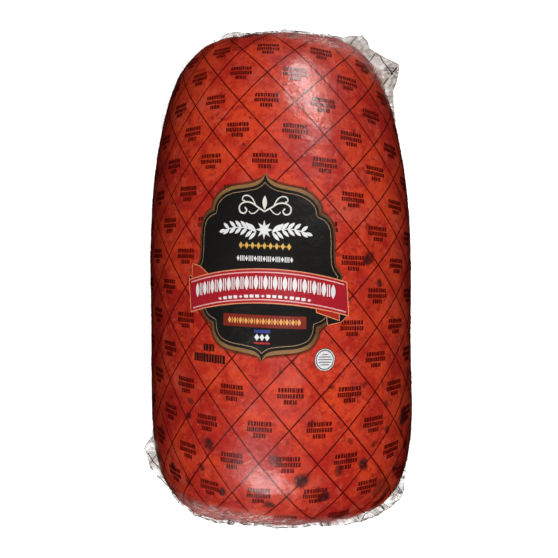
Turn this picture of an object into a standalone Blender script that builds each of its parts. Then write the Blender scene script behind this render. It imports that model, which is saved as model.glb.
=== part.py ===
"""A whole smoked ham, shrunk tight into its clear printed bag and lying on its back.

The ham is a round log with blunt ends. It rests on the flat that its own weight gives it, with the
printed front up: +Y runs along the log to its head end, +Z is up, and the origin is the middle of
the flat underside. At each end the bag runs on into a thin seal tail, crumpled and pulled in close
round the end, with ears at its corners. Bag, tails and ham are one sealed thing, so one solid.
"""

from math import acos, atan2, cos, degrees, exp, pi, radians, sin

import bpy
import numpy as np
from mathutils import Vector, noise

# Driving dimensions, in metres.
LENGTH = 0.3045  # the log alone, without its seal tails
RADIUS = 0.085
AXIS_HEIGHT = 0.070  # of the log's middle line over the surface that it lies on
LEAN = -0.0086  # sideways drift of the middle line for each metre towards the head
FLAT_FILLET = 0.006  # height over which the round side turns into the flat underside

# The two ends are superellipses: (share along the end) ** ALONG + (share of the radius) ** ROUND = 1.
HEAD_LENGTH, HEAD_ALONG, HEAD_ROUND = 0.1494, 1.96, 4.82
FOOT_LENGTH, FOOT_ALONG, FOOT_ROUND = 0.0827, 2.89, 5.36
OUTLINE_STEPS = 120  # in each end

# The meat's own unevenness, and the gathers of the bag towards its two seals.
LUMP_HEIGHT, LUMP_SIZE = 0.0011, 0.075
PLEAT_HEIGHT, PLEATS_ROUND, PLEAT_REACH = 0.0010, 19, 0.055
PLEAT_WANDER, PLEAT_WANDER_SIZE = 1.5 * pi, 0.6 * LUMP_SIZE
PLEAT_AT_TOP = 0.35  # share of a pleat's full height that is left over the front and the back
POLE_CALM = 0.25 * RADIUS  # inside this radius the unevenness dies out towards the poles

# Mesh density of the log: around it, and from end to end.
SEGMENTS, RINGS = 84, 44

# The seal tails lie flat at mid height. Each is drawn about its hub on the middle line, by bearings
# from the way its end points: degrees, positive to the right of the log. Its width past the log is
# the rim's in the middle, falls to the flank's past the shoulder, and changes at each ear or tuck:
# (bearing, added width, spread in degrees).
TAIL_HEIGHT = 0.068
TAIL_HUB = LENGTH / 2 - 0.045  # from the log's middle to a tail's hub
HEAD_TAIL = {
    "side": 1, "rim": 0.0085, "flank": 0.0010, "shoulder": 38, "phase": 0.4,
    "ears": [(48, 0.0095, 6), (69, 0.0155, 10), (-74, 0.0030, 7)],
}
FOOT_TAIL = {
    "side": -1, "rim": 0.0122, "flank": -0.0020, "shoulder": 68, "phase": 1.9,
    "ears": [(-88, 0.0065, 8), (-54, -0.0040, 13), (64, 0.0015, 7)],
}
TAIL_SWEEP = 98  # degrees to each side
SHOULDER_SOFTNESS = 8  # degrees
TAIL_ROOT = 0.006  # how deep a tail starts inside the log
TAIL_FILM = 0.0010  # two crumpled layers of film and the air between them
TAIL_WAVE, TAIL_WAVES, ROOT_WAVE_SHARE = 0.0022, 9, 0.35
TAIL_CRUMPLE, TAIL_CRUMPLE_SIZE = 0.0016, 0.012
TAIL_STEPS_ALONG, TAIL_STEPS_OUT = 60, 4


def meridian():
    """Points (y, radius) of the log's outline from foot to head, and each one's share of its length."""
    turn = np.linspace(0, pi / 2, OUTLINE_STEPS)
    half = LENGTH / 2
    foot_y = -(half - FOOT_LENGTH) - FOOT_LENGTH * np.sin(turn) ** (2 / FOOT_ALONG)
    foot_r = np.cos(turn) ** (2 / FOOT_ROUND)
    head_y = (half - HEAD_LENGTH) + HEAD_LENGTH * np.sin(turn) ** (2 / HEAD_ALONG)
    head_r = np.cos(turn) ** (2 / HEAD_ROUND)
    y = np.concatenate([foot_y[::-1], head_y])
    r = np.concatenate([foot_r[::-1], head_r]) * RADIUS
    run = np.concatenate([[0], np.cumsum(np.hypot(np.diff(y), np.diff(r)))])
    return y, r, run / run[-1]


OUTLINE_Y, OUTLINE_R, OUTLINE_SHARE = meridian()


def unevenness(angle, y):
    """How far the skin stands out from the plain log: slow lumps, and pleats that grow towards the seals."""
    place = Vector((cos(angle), sin(angle), y / LUMP_SIZE))
    lump = LUMP_HEIGHT * noise.noise(place)
    to_end = (LENGTH / 2 - abs(y)) / PLEAT_REACH
    gather = max(0.0, 1 - to_end) ** 2
    towards_seal = PLEAT_AT_TOP + (1 - PLEAT_AT_TOP) * sin(angle) ** 2
    wander = PLEAT_WANDER * noise.noise(place * (LUMP_SIZE / PLEAT_WANDER_SIZE))
    return lump + PLEAT_HEIGHT * gather * towards_seal * sin(PLEATS_ROUND * angle + wander)


def rest_on_flat(z):
    """The height z, turned into a level underside at 0 by a smooth fillet."""
    blend = max(FLAT_FILLET - abs(z), 0.0) / FLAT_FILLET
    return max(z, 0.0) + blend * blend * FLAT_FILLET / 4


def skin_point(angle, share):
    """A point of the bag's skin: angle round the log from its top, share of the way from foot to head."""
    y = float(np.interp(share, OUTLINE_SHARE, OUTLINE_Y))
    r = float(np.interp(share, OUTLINE_SHARE, OUTLINE_R))
    r += unevenness(angle, y) * min(1.0, r / POLE_CALM)
    z = rest_on_flat(AXIS_HEIGHT + r * cos(angle))
    return Vector((r * sin(angle) + LEAN * y, y, z))


def film_material():
    material = bpy.data.materials.new("printed_film_over_smoked_ham")
    material.use_nodes = True
    shader = material.node_tree.nodes["Principled BSDF"]
    shader.inputs["Base Color"].default_value = (0.56, 0.06, 0.03, 1)
    shader.inputs["Roughness"].default_value = 0.25
    shader.inputs["Metallic"].default_value = 0.0
    return material


def make_log(collection, material):
    """A unit sphere whose poles go to the two ends and whose rings are drawn out along the log."""
    bpy.ops.mesh.primitive_uv_sphere_add(segments=SEGMENTS, ring_count=RINGS, radius=1)
    log = bpy.context.object
    log.name = "ham_pack"
    for vertex in log.data.vertices:
        x, y, z = vertex.co
        share = 1 - acos(max(-1.0, min(1.0, z))) / pi
        vertex.co = skin_point(atan2(x, -y), share)
    log.data.shade_smooth()
    log.data.materials.append(material)
    move_to(collection, log)
    return log


def move_to(collection, item):
    for holder in list(item.users_collection):
        holder.objects.unlink(item)
    collection.objects.link(item)


def reach_of_log(bearing, side):
    """How far the log's outline is from a tail's hub, along this bearing."""
    reach = np.linspace(0, RADIUS * 1.1, 441)
    x, y = reach * abs(sin(bearing)), side * (TAIL_HUB + reach * cos(bearing))
    inside = x < np.interp(y, OUTLINE_Y, OUTLINE_R, left=0, right=0)
    return float(reach[inside].max())


def width_of_tail(bearing, tail):
    """How far a tail stands out past the log along this bearing."""
    turned = degrees(bearing)
    past = 1 / (1 + exp((tail["shoulder"] - abs(turned)) / SHOULDER_SOFTNESS))
    width = tail["rim"] + (tail["flank"] - tail["rim"]) * past
    for ear, added, spread in tail["ears"]:
        width += added * exp(-(((turned - ear) / spread) ** 2))
    return width


def make_tail(name, tail, collection):
    """One seal tail: a waved sheet from inside the log out to its edge, with the film's thickness."""
    bpy.ops.mesh.primitive_grid_add(
        x_subdivisions=TAIL_STEPS_ALONG, y_subdivisions=TAIL_STEPS_OUT, size=2
    )
    sheet = bpy.context.object
    sheet.name = name
    side, phase = tail["side"], tail["phase"]
    for vertex in sheet.data.vertices:
        bearing = radians(TAIL_SWEEP) * vertex.co.x
        out = (vertex.co.y + 1) / 2
        log_edge = reach_of_log(bearing, side)
        reach = log_edge - TAIL_ROOT + (width_of_tail(bearing, tail) + TAIL_ROOT) * out
        x, y = reach * sin(bearing), side * (TAIL_HUB + reach * cos(bearing))
        wave = TAIL_WAVE * sin(TAIL_WAVES * bearing + phase)
        crumple = TAIL_CRUMPLE * noise.noise(Vector((x, y, phase)) / TAIL_CRUMPLE_SIZE)
        share = ROOT_WAVE_SHARE + (1 - ROOT_WAVE_SHARE) * out
        vertex.co = (x + LEAN * y, y, TAIL_HEIGHT + (wave + crumple) * share)
    film = sheet.modifiers.new("film", "SOLIDIFY")
    film.thickness = TAIL_FILM
    film.offset = 0
    move_to(collection, sheet)


def join_tails(log, tails):
    """One union of the tails and the log, applied, so that the sealed bag is a single solid."""
    union = log.modifiers.new("tails", "BOOLEAN")
    union.operation = "UNION"
    union.operand_type = "COLLECTION"
    union.collection = tails
    union.solver = "EXACT"
    bpy.context.view_layer.update()
    joined = bpy.data.meshes.new_from_object(log.evaluated_get(bpy.context.evaluated_depsgraph_get()))
    log.modifiers.remove(union)
    log.data = joined
    for sheet in list(tails.objects):
        bpy.data.objects.remove(sheet)
    bpy.data.collections.remove(tails)


def main():
    for old in list(bpy.data.objects):
        bpy.data.objects.remove(old)
    pack = bpy.data.collections.new("packed_ham")
    tails = bpy.data.collections.new("seal_tails")
    for collection in (pack, tails):
        bpy.context.scene.collection.children.link(collection)
    log = make_log(pack, film_material())
    make_tail("head_tail", HEAD_TAIL, tails)
    make_tail("foot_tail", FOOT_TAIL, tails)
    join_tails(log, tails)


main()
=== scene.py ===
"""A whole smoked ham, vacuum packed in a clear printed shrink bag, lying on its back.

The ham comes first, then the bag's film over it and its two seal tails, then what is printed on the
film: the net, the small marks, and the label with its plaque, band, stamp and ornaments.
"""

from math import cos, degrees, floor, pi, radians, sin

import bpy
import numpy as np
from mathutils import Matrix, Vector, geometry, noise


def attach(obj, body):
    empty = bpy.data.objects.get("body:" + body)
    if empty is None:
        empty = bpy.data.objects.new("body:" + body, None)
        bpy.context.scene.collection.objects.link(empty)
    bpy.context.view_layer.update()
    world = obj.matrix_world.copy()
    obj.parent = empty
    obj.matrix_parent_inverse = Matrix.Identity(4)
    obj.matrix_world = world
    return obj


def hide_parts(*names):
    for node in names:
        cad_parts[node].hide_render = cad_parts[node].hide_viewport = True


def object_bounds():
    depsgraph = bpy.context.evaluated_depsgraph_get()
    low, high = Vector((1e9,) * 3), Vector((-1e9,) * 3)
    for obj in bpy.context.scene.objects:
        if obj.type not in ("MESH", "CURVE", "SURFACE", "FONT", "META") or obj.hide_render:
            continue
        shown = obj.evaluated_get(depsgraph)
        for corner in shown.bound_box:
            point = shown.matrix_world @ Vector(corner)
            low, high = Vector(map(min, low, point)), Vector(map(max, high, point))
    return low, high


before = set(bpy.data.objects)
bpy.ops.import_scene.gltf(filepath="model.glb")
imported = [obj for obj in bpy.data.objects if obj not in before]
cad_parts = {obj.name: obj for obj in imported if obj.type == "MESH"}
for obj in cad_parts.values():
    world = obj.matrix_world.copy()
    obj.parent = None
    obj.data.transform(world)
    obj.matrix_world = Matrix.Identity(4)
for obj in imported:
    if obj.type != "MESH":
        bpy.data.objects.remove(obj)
cad_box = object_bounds()

# --- Camera ---------------------------------------------------------------------------------------
# It stands over the lying ham and looks straight down on the printed front, with the head end up.
# The frame is square, and a small shift puts the ham where it belongs in it.
FRAME_PIXELS = 558
SENSOR_MM = 36.0
FOCAL_PIXELS = 1048.6
SHIFT_PIXELS = (-1.74, -2.72)
CAMERA_OVER_FRONT = 0.600

front_height = cad_box[1].z
camera_data = bpy.data.cameras.new("camera")
camera_data.sensor_width = SENSOR_MM
camera_data.lens = SENSOR_MM * FOCAL_PIXELS / FRAME_PIXELS
camera_data.shift_x = SHIFT_PIXELS[0] / FRAME_PIXELS
camera_data.shift_y = SHIFT_PIXELS[1] / FRAME_PIXELS
camera = bpy.data.objects.new("camera", camera_data)
camera.location = (0, 0, front_height + CAMERA_OVER_FRONT)
bpy.context.collection.objects.link(camera)
bpy.context.scene.camera = camera
bpy.context.scene.view_settings.view_transform = "Standard"

# --- Studio ---------------------------------------------------------------------------------------
# A pale table that glows a little, so that it shows next to no shadow, a white backdrop, a large soft
# box overhead, and a weak one at each end. One below stands for the light that the table sends back.
# The others only show in the film's gloss on the rounded ends: boxes, wide veils and the pale table.
TABLE_SIZE = 8.0
TABLE_COLOUR, TABLE_GLOW = (0.9, 0.9, 0.89, 1), 0.85
SKY, BACKDROP = 0.016, 1.0
HAM_MIDDLE = Vector((0, 0, 0.07))
# name: (direction from the ham's middle, distance, width, height, watts, lights or only mirrors)
SOFT_BOXES = {
    "overhead_box": ((0.06, -0.02, 1.0), 2.2, 0.90, 0.90, 44.8, "lights"),
    "table_light": ((0.0, 0.0, -1.0), 1.4, 2.0, 2.0, 5, "lights"),
    "foot_fill": ((-0.25, -1.0, 0.02), 1.5, 0.90, 0.90, 6.0, "lights"),
    "head_fill": ((0.35, 1.0, -0.08), 1.5, 0.90, 0.90, 4.6, "lights"),
    "head_box": ((0.30, 0.79, 0.53), 1.5, 0.44, 0.44, 5.2, "mirrors"),
    "head_low_box": ((0.46, 0.60, 0.66), 1.5, 0.28, 0.28, 2.8, "mirrors"),
    "head_veil": ((0.40, 0.62, 0.68), 1.5, 1.30, 1.30, 1.4, "mirrors"),
    "head_table": ((0.35, 0.75, -0.60), 1.2, 0.80, 0.80, 0.3, "mirrors"),
    "foot_box": ((-0.20, -0.67, 0.715), 1.5, 0.84, 0.36, 5.0, "mirrors"),
    "foot_veil": ((-0.36, -0.53, 0.75), 1.5, 0.90, 0.90, 2.2, "mirrors"),
    "foot_table": ((-0.18, -0.74, -0.60), 1.2, 0.90, 0.90, 0.4, "mirrors"),
}


def sign(operation):
    """A math operation as the two methods of a Python sign: with the value before it, and after it."""
    return (lambda a, b: computed(operation, a, b)), (lambda a, b: computed(operation, b, a))


class Value:
    """What a node puts out. Each sum, product or comparison with it adds one math node to its tree."""

    __add__, __radd__ = sign("ADD")
    __sub__, __rsub__ = sign("SUBTRACT")
    __mul__, __rmul__ = sign("MULTIPLY")
    __truediv__, __rtruediv__ = sign("DIVIDE")
    __pow__, __rpow__ = sign("POWER")
    __gt__, __lt__ = sign("GREATER_THAN")[0], sign("LESS_THAN")[0]

    def __init__(self, socket):
        self.socket = socket
        self.tree = socket.id_data

    def __abs__(self):
        return self.math("ABSOLUTE")

    def math(self, operation, *others):
        return computed(operation, self, *others)

    def vector_math(self, operation, *others, output=0):
        terms = dict(enumerate((self, *others)))
        return Value(add_node(self.tree, "ShaderNodeVectorMath", terms, operation=operation).outputs[output])

    def split(self):
        """The three numbers of a vector or a colour."""
        return [Value(part) for part in add_node(self.tree, "ShaderNodeSeparateXYZ", {0: self}).outputs]

    def ramp(self, low, high, bottom=0.0, top=1.0, kind="LINEAR"):
        """Rises from bottom to top while this value goes from low to high."""
        levels = {"Value": self, "From Min": low, "From Max": high, "To Min": bottom, "To Max": top}
        return Value(add_node(self.tree, "ShaderNodeMapRange", levels, interpolation_type=kind).outputs[0])

    def eased(self, low, high, bottom=0.0, top=1.0):
        """The same with a soft start and end."""
        return self.ramp(low, high, bottom, top, "SMOOTHSTEP")


def plug(value, socket):
    """Links a value to a node's input, or sets the input to a constant."""
    if isinstance(value, Value):
        value.tree.links.new(value.socket, socket)
    else:
        socket.default_value = value


def add_node(tree, kind, plugs=None, **settings):
    """A new node with these settings, and these values or constants at its inputs."""
    made = tree.nodes.new(kind)
    for name, value in settings.items():
        setattr(made, name, value)
    for socket, value in (plugs or {}).items():
        plug(value, made.inputs[socket])
    return made


def made_from(terms, kind, **settings):
    """The first output of a new node, in the tree of those of its terms that are values."""
    tree = next(term.tree for term in terms if isinstance(term, Value))
    return Value(add_node(tree, kind, dict(enumerate(terms)), **settings).outputs[0])


def computed(operation, *terms):
    return made_from(terms, "ShaderNodeMath", operation=operation)


def vector(x, y, z):
    return made_from((x, y, z), "ShaderNodeCombineXYZ")


class NodeSheet:
    """A node tree to wire: a call adds a node and returns it, or one of its outputs as a value."""

    def __init__(self, tree):
        self.tree = tree

    def node(self, kind, plugs=None, **settings):
        return add_node(self.tree, kind, plugs, **settings)

    def get(self, kind, plugs=None, output=0, **settings):
        return Value(self.node(kind, plugs, **settings).outputs[output])

    def place(self):
        """Where a point of the surface is on the finished object."""
        return self.get("ShaderNodeTexCoord", output="Object")


def new_material(name, settings):
    """A material with its sheet and its Principled shader, which has these inputs set."""
    material = bpy.data.materials.new(name)
    material.use_nodes = True
    shader = material.node_tree.nodes["Principled BSDF"]
    for socket, value in settings.items():
        plug(value, shader.inputs[socket])
    return material, NodeSheet(material.node_tree), shader


table_material, _, _ = new_material("pale_table", {
    "Base Color": TABLE_COLOUR, "Roughness": 0.8,
    "Emission Color": TABLE_COLOUR, "Emission Strength": TABLE_GLOW,
})
bpy.ops.mesh.primitive_plane_add(size=TABLE_SIZE)
table = bpy.context.object
table.name = "table"
table.data.materials.append(table_material)
table.visible_diffuse = False
table.visible_glossy = False
table.visible_shadow = False

for name, (direction, distance, width, height, watts, use) in SOFT_BOXES.items():
    box_data = bpy.data.lights.new(name, "AREA")
    box_data.shape = "RECTANGLE"
    box_data.size, box_data.size_y = width, height
    box_data.energy = watts
    box = bpy.data.objects.new(name, box_data)
    box.location = HAM_MIDDLE + Vector(direction).normalized() * distance
    box.rotation_euler = (HAM_MIDDLE - box.location).to_track_quat("-Z", "Y").to_euler()
    box.visible_camera = False
    box.visible_diffuse = use == "lights"
    box.visible_glossy = use == "mirrors"
    bpy.context.collection.objects.link(box)

world = bpy.data.worlds.new("studio")
world.use_nodes = True
world.cycles_visibility.glossy = False
seen = NodeSheet(world.node_tree).get("ShaderNodeLightPath", output="Is Camera Ray")
plug(seen * (BACKDROP - SKY) + SKY, world.node_tree.nodes["Background"].inputs["Color"])
bpy.context.scene.world = world

# --- Ham ------------------------------------------------------------------------------------------
# One whole boneless ham, pressed into a round log with blunt ends, smoked to an orange red with
# brown to black stains. It rests on the flat that its weight gives it. A tree of nodes draws it
# from its outline, turned about the middle line, and the film and the print follow the same form.
LOG_LENGTH, LOG_RADIUS = 0.3045, 0.085
MIDDLE_HEIGHT = 0.070
LEAN = -0.0086  # sideways drift of the middle line for each metre towards the head
FLAT_FILLET = 0.006
HEAD_END = (0.1494, 1.96, 4.82)  # length, and the superellipse's powers along and around
FOOT_END = (0.0827, 2.89, 5.36)
LUMP_HEIGHT, LUMP_SIZE = 0.0011, 0.075
PLEAT_HEIGHT, PLEATS_ROUND, PLEAT_REACH, PLEAT_AT_TOP = 0.0010, 19, 0.055, 0.35
PLEAT_WANDER, WANDER_SCALE = 3 * pi, 1.7
POLE_CALM = 0.25 * LOG_RADIUS  # inside this radius the unevenness dies out towards the poles
HAM_UNDER_FILM = 0.0006
OUTLINE_POINTS, POLE_CROWDING = 500, 2.5
GATHER_POWER, MOST_GATHER = 1.053, 0.6
SKIN_MESH = {"Segments": 256, "Rings": 200}


def node_group(kind, name, inputs, outputs):
    """An empty group with these sockets, {name: type}, its sheet, its inputs as values and its plugs."""
    tree = bpy.data.node_groups.new(name, kind)
    for way, sockets in (("INPUT", inputs), ("OUTPUT", outputs)):
        for socket, what in sockets.items():
            tree.interface.new_socket(socket, in_out=way, socket_type="NodeSocket" + what)
    sheet = NodeSheet(tree)
    given = {socket.name: Value(socket) for socket in sheet.node("NodeGroupInput").outputs}
    return tree, sheet, given, sheet.node("NodeGroupOutput").inputs


def perlin(place, scale, output=0, **settings):
    """Noise at a place: one number, or three with "Color" for its output."""
    plugs = {"Vector": place, "Scale": scale, **settings}
    return Value(add_node(place.tree, "ShaderNodeTexNoise", plugs).outputs[output])


def by_end(at_head):
    """The three measures of the end that a place is at, from a value that is 1 at the head, 0 at the foot."""
    return [at_head * (head - foot) + foot for head, foot in zip(HEAD_END, FOOT_END)]


def outline_of_log(sheet):
    """The log's outline as a curve from foot to head: points (0, y, radius)."""
    line = sheet.get("GeometryNodeCurvePrimitiveLine", {"End": (0, 1, 0)})
    line = sheet.get("GeometryNodeResampleCurve", {"Curve": line, "Count": OUTLINE_POINTS})
    place = sheet.get("GeometryNodeSplineParameter", output="Factor") * 2.0 - 1.0
    turn = (1.0 - (1.0 - abs(place)) ** POLE_CROWDING) * (pi / 2)
    length, along, around = by_end(place > 0.0)
    reach = turn.math("SINE") ** (2.0 / along)
    y = place.math("SIGN") * (length * reach + (LOG_LENGTH / 2 - length))
    radius = turn.math("COSINE") ** (2.0 / around) * LOG_RADIUS
    return sheet.get("GeometryNodeSetPosition", {"Geometry": line, "Position": vector(0.0, y, radius)})


def run_of_end(end):
    """How far it is along the outline from the middle of the log to the tip of one of its ends."""
    length, along, around = end
    turn = (1 - np.linspace(1, 0, OUTLINE_POINTS) ** POLE_CROWDING) * pi / 2
    start = LOG_LENGTH / 2 - length
    y = start + length * np.sin(turn) ** (2 / along)
    radius = LOG_RADIUS * np.cos(turn) ** (2 / around)
    return start + float(np.hypot(np.diff(y), np.diff(radius)).sum())


FOOT_RUN, HEAD_RUN = run_of_end(FOOT_END), run_of_end(HEAD_END)


def log_radius(y, side):
    """The log's radius at y, from the superellipse of that end."""
    length, along, around = HEAD_END if side > 0 else FOOT_END
    share = np.clip((side * y - (LOG_LENGTH / 2 - length)) / length, 0, 1)
    return LOG_RADIUS * (1 - share ** along) ** (1 / around)


# A point of the skin: turn about the middle line from the top, run along the outline from the
# middle, and how far it stands off. Gather is 1 for print, which the narrow ends draw to the front.
skin, sheet, given, result = node_group(
    "GeometryNodeTree", "skin_of_log",
    {"Turn": "Float", "Run": "Float", "Stand Off": "Float", "Gather": "Float"}, {"Position": "Vector"},
)
at = sheet.node("GeometryNodeSampleCurve", {
    "Curves": outline_of_log(sheet), "Length": given["Run"] + FOOT_RUN,
}, mode="LENGTH", use_all_curves=True).outputs
_, y, radius = Value(at["Position"]).split()
_, slope_y, slope_r = Value(at["Tangent"]).split()
wide = (LOG_RADIUS / radius.math("MAXIMUM", 0.001)) ** GATHER_POWER
draw = given["Gather"] * (wide - 1.0).math("MINIMUM", MOST_GATHER)
turn = given["Turn"].math("SINE") * draw + given["Turn"]
sine, cosine = turn.math("SINE"), turn.math("COSINE")

place = vector(cosine, sine, y / LUMP_SIZE)
lumps = perlin(place, 1.0, Detail=1.0)
wander = perlin(place, WANDER_SCALE, Detail=0.0)
to_end = (LOG_LENGTH / 2 - abs(y)) / PLEAT_REACH
gathers = (1.0 - to_end).math("MAXIMUM", 0.0) ** 2.0
at_sides = sine * sine * (1 - PLEAT_AT_TOP) + PLEAT_AT_TOP
wave = (turn * PLEATS_ROUND + wander * PLEAT_WANDER).math("SINE")
uneven = (lumps - 0.5) * (2 * LUMP_HEIGHT) + gathers * at_sides * (wave * PLEAT_HEIGHT)
off = uneven * (radius / POLE_CALM).math("MINIMUM", 1.0) + given["Stand Off"]
radius = slope_y * off + radius
y = y - slope_r * off
over_flat = radius * cosine + MIDDLE_HEIGHT + given["Stand Off"]
blend = 1.0 - (abs(over_flat) / FLAT_FILLET).math("MINIMUM", 1.0)
level = over_flat.math("MAXIMUM", 0.0) + blend * blend * (FLAT_FILLET / 4)
x = y * LEAN + radius * sine
plug(vector(x, y, level - given["Stand Off"]), result["Position"])


def dressed(sheet, shape, material):
    """The shape made smooth and plain, with its material."""
    shape = sheet.get("GeometryNodeSetShadeSmooth", {"Geometry": shape})
    shape = sheet.get("GeometryNodeRealizeInstances", {"Geometry": shape})
    return sheet.get("GeometryNodeSetMaterial", {"Geometry": shape, "Material": material})


# The closed skin: a sphere whose poles go to the two tips and whose rings follow the outline.
whole_skin, sheet, given, result = node_group(
    "GeometryNodeTree", "whole_skin",
    {"Stand Off": "Float", "Segments": "Int", "Rings": "Int", "Material": "Material"},
    {"Geometry": "Geometry"},
)
ball = sheet.get("GeometryNodeMeshUVSphere", {
    "Segments": given["Segments"], "Rings": given["Rings"], "Radius": 1.0,
})
bx, by, bz = sheet.get("GeometryNodeInputPosition").split()
from_head = bz.math("MINIMUM", 1.0).math("MAXIMUM", -1.0).math("ARCCOSINE") / pi
point = sheet.get("GeometryNodeGroup", {
    "Turn": bx.math("ARCTAN2", by * -1.0), "Run": HEAD_RUN - from_head * (HEAD_RUN + FOOT_RUN),
    "Stand Off": given["Stand Off"],
}, node_tree=skin)
body = sheet.get("GeometryNodeSetPosition", {"Geometry": ball, "Position": point})
plug(dressed(sheet, body, given["Material"]), result["Geometry"])


def grow(name, tree, values, start=None):
    """Runs a tree on a mesh, or on nothing, and leaves its result as the plain mesh of a new piece."""
    piece = bpy.data.objects.new(name, start or bpy.data.meshes.new(name))
    bpy.context.collection.objects.link(piece)
    form = piece.modifiers.new("form", "NODES")
    form.node_group = tree
    for item in tree.interface.items_tree:
        if item.name in values and item.in_out == "INPUT":
            form[item.identifier] = values[item.name]
    evaluated = piece.evaluated_get(bpy.context.evaluated_depsgraph_get())
    grown = bpy.data.meshes.new_from_object(evaluated)
    piece.modifiers.remove(form)
    piece.data = grown
    grown.name = name
    return piece


# The film takes up the meat's fine unevenness, so ham, film and inks all break up their gloss
# with this same texture: dimples of the meat, the film's finer crinkle over them, and at the two
# ends gathers that fan out from the seals. It also gives a mask of the milky rim round each end,
# where the film is drawn up most, how high on a fold a place is, and a mask of short wrinkles,
# which the film paints as bright glints.
DIMPLE_SIZE, CRINKLE_SIZE = 0.013, 0.0024
GLOSS_BUMP = 0.0012  # the height that the texture's full range stands for
TAIL_HUB = LOG_LENGTH / 2 - 0.045
GATHERS_BELOW, GATHERS_PAST = (0.128, 0.090), (0.108, 0.140)  # heights, and how far along the log
HAZE_NARROW, HAZE_WIDE = 0.0085, 0.0175
LESS_HAZE = (0.50, -0.35)  # on the narrow side at the foot, and what the head's differs by
RIM_CORNERS, CORNER_FADE = (0.080, 0.064), 0.014  # at the head and at the foot
END_FACE, WRINKLED = (0.088, 0.118), (0.102, 0.128)  # heights over which haze and wrinkles come on
LOPSIDED, HEAD_SHIFT = (-0.030, 0.025), -0.010  # from the narrow side to the wide, and at the head
GATHERS_ROUND, GATHERS_DOWN = 13.0, 34.0  # for each radian about the tail's hub, and metre of height
WRINKLES_ROUND, WRINKLES_IN, WRINKLES_SLANT, WRINKLES_DOWN = 15.0, 500.0, 150.0, 90.0
FINE_SHARE, FOLD_SHARE, SHARP_SHARE, SHARP_SCALE = 0.24, 3.0, 0.30, 900.0

crinkle, sheet, given, result = node_group(
    "ShaderNodeTree", "shrink_crinkle", {"Dimple Size": "Float", "Crinkle Size": "Float"},
    {"Height": "Float", "Gathered": "Float", "Folds": "Float", "Glint Dashes": "Float"},
)
place = sheet.place()
dimples = perlin(place, 1.0 / given["Dimple Size"], Detail=3.0, Roughness=0.5)
fine = perlin(place, 1.0 / given["Crinkle Size"], Detail=4.0, Roughness=0.6, Distortion=0.25)
px, py, pz = place.split()
out, side, at_head = abs(py), py.math("SIGN"), py > 0.0
past = out.eased(*GATHERS_PAST)
length, along, around = by_end(at_head)
across = (abs(px) / LOG_RADIUS).math("MINIMUM", 1.0)
reach = (1.0 - across ** around) ** (1.0 / along)
from_rim = length * reach + (LOG_LENGTH / 2 - length) - out
# The film is gathered most at the head's right and the foot's left, and stops short of the corners.
# It is less milky on the end's own face, under the shoulder.
lopsided = (px * side + at_head * HEAD_SHIFT).eased(*LOPSIDED)
haze_reach = lopsided * (HAZE_WIDE - HAZE_NARROW) + HAZE_NARROW
near_rim = (from_rim / haze_reach).eased(1.0, 0.4)
least = at_head * LESS_HAZE[1] + LESS_HAZE[0]
strength = lopsided * (1.0 - least) + least
corner = at_head * (RIM_CORNERS[0] - RIM_CORNERS[1]) + RIM_CORNERS[1]
inward = ((corner - abs(px)) / CORNER_FADE).math("MAXIMUM", 0.0).math("MINIMUM", 1.0)
gathered = near_rim * inward * strength * past * pz.eased(*END_FACE, bottom=0.25)
bearing = px.math("ARCTAN2", out - TAIL_HUB)
round_hub = vector(bearing * GATHERS_ROUND, pz * GATHERS_DOWN, side)
gathers = perlin(round_hub, 1.0, Detail=3.0, Roughness=0.55, Distortion=0.3)
folds = gathers * (pz.eased(*GATHERS_BELOW) * past * FOLD_SHARE)
sharp = perlin(place, SHARP_SCALE, Detail=1.0)
folds = sharp * (gathered * SHARP_SHARE) + folds
# Painted glints: short bright wrinkles run along the rim, and fade on the end's face.
inwards = from_rim * WRINKLES_IN + pz * WRINKLES_SLANT
along_rim = vector(bearing * WRINKLES_ROUND, inwards, pz * WRINKLES_DOWN)
wrinkles = perlin(along_rim, 1.0, Detail=3.0, Roughness=0.6, Distortion=0.4)
plug(fine * FINE_SHARE + dimples + folds, result["Height"])
plug(gathered, result["Gathered"])
plug(gathers, result["Folds"])
plug(wrinkles.ramp(0.53, 0.61) * pz.eased(*WRINKLED, bottom=0.15), result["Glint Dashes"])


def add_crinkle(sheet, shader, strength):
    """Gives a shader the shared crinkle as its bump, and returns its masks of haze, folds and wrinkles."""
    sizes = {"Dimple Size": DIMPLE_SIZE, "Crinkle Size": CRINKLE_SIZE}
    height, *masks = map(Value, sheet.node("ShaderNodeGroup", sizes, node_tree=crinkle).outputs)
    bump = sheet.get("ShaderNodeBump", {"Strength": strength, "Distance": GLOSS_BUMP, "Height": height})
    plug(bump, shader.inputs["Normal"])
    plug(bump, shader.inputs["Coat Normal"])
    return masks


def cloud(place, size, detail, low, high, distortion=0.0):
    """Soft patches of one size, as a mask that rises from 0 to 1 between two levels of noise."""
    return perlin(place, 1 / size, Detail=detail, Distortion=distortion).eased(low, high)


def mixed(mask, under, over):
    """One colour laid over another by a mask."""
    mix = add_node(mask.tree, "ShaderNodeMix", {0: mask, 6: under, 7: over}, data_type="RGBA")
    return Value(mix.outputs[2])


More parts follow.
